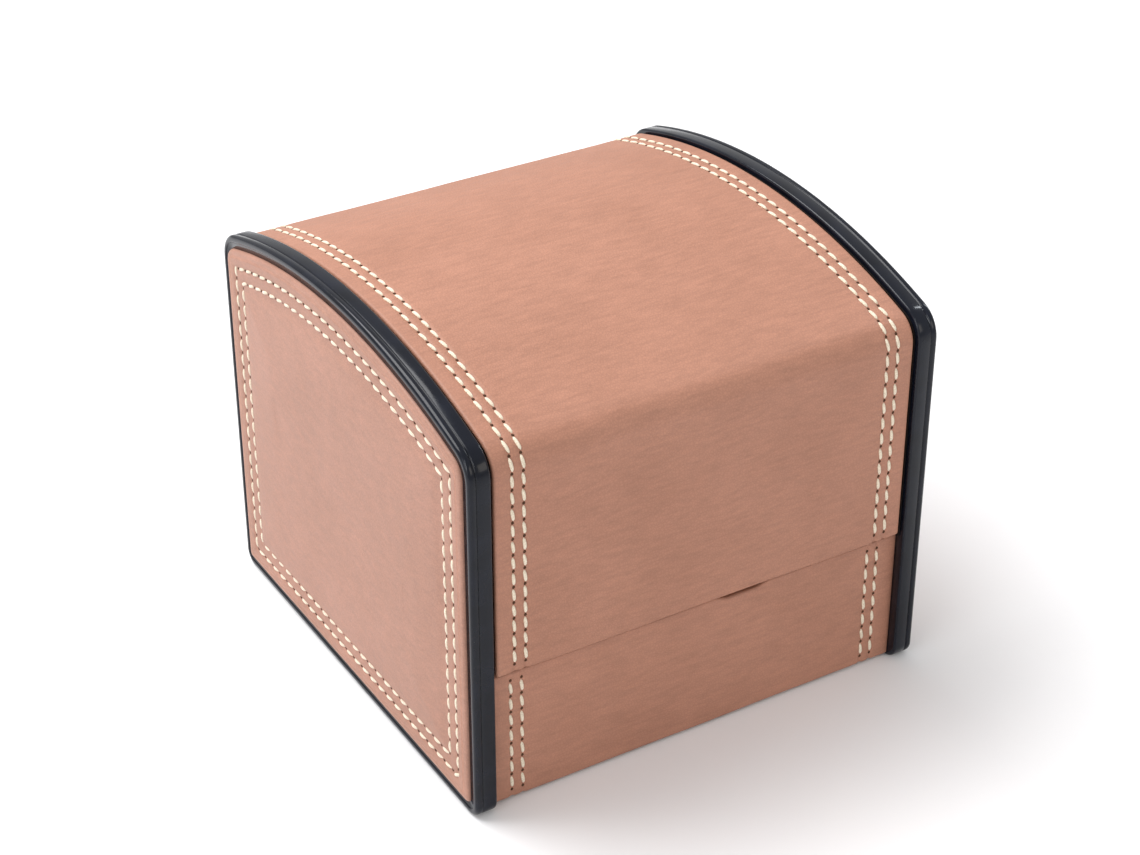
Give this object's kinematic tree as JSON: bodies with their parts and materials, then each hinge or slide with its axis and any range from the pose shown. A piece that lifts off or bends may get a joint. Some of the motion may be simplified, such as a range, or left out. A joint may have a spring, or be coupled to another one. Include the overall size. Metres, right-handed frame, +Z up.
{
  "type": "watch box",
  "caption": "Leatherette presentation box for one watch, with loaf-shaped side panels, a flip-up arched lid and a tilted suede pillow.",
  "frame": {"origin": "on the ground under the middle of the shut box", "axes": "+X to the right, along the hinge; front faces -Y; +Z up"},
  "size_m": [0.096, 0.095, 0.082],
  "materials": {
    "tan_leather": "fine-grained tan-pink leatherette with cream double stitching",
    "edge_band": "black lacquered edge",
    "lid_cheek": "smooth black, glossy",
    "black_lining": "matt black-brown lining",
    "brown_suede": "brown suede",
    "pillow_suede": "orange-tan suede",
    "board": "grey board",
    "underside_felt": "black felt paper",
    "hinge_metal": "nickel-plated",
    "wadding": "white wadding"
  },
  "bodies": {
    "base": {"side_board_left": "board", "side_board_right": "board", "side_edge_band_left": "edge_band", "side_edge_band_right": "edge_band", "side_leather_left": "tan_leather", "side_leather_right": "tan_leather", "side_lining_left": "black_lining", "side_lining_right": "black_lining", "base_leather": "tan_leather", "underside_sheet": "underside_felt", "front_board": "board", "bottom_board": "board", "back_board": "board", "front_lining": "brown_suede", "floor_lining": "brown_suede", "back_lining": "brown_suede", "hinge_base_leaf": "hinge_metal", "hinge_pin": "hinge_metal", "pillow_cover": "pillow_suede", "pillow_filling": "wadding"},
    "lid": {"lid_leather": "tan_leather", "lid_front_board": "board", "lid_top_board": "board", "lid_back_board": "board", "lid_lining": "brown_suede", "lid_cheek_left": "lid_cheek", "lid_cheek_right": "lid_cheek", "lid_cheek_lining_left": "black_lining", "lid_cheek_lining_right": "black_lining", "hinge_lid_leaf": "hinge_metal"}
  },
  "joints": [
    {"name": "lid_hinge", "type": "hinge", "parent": "base", "child": "lid", "pos_m": [0, 0.0461, 0.046], "axis": [-1, 0, 0], "range_deg": [0, 80]}
  ]
}
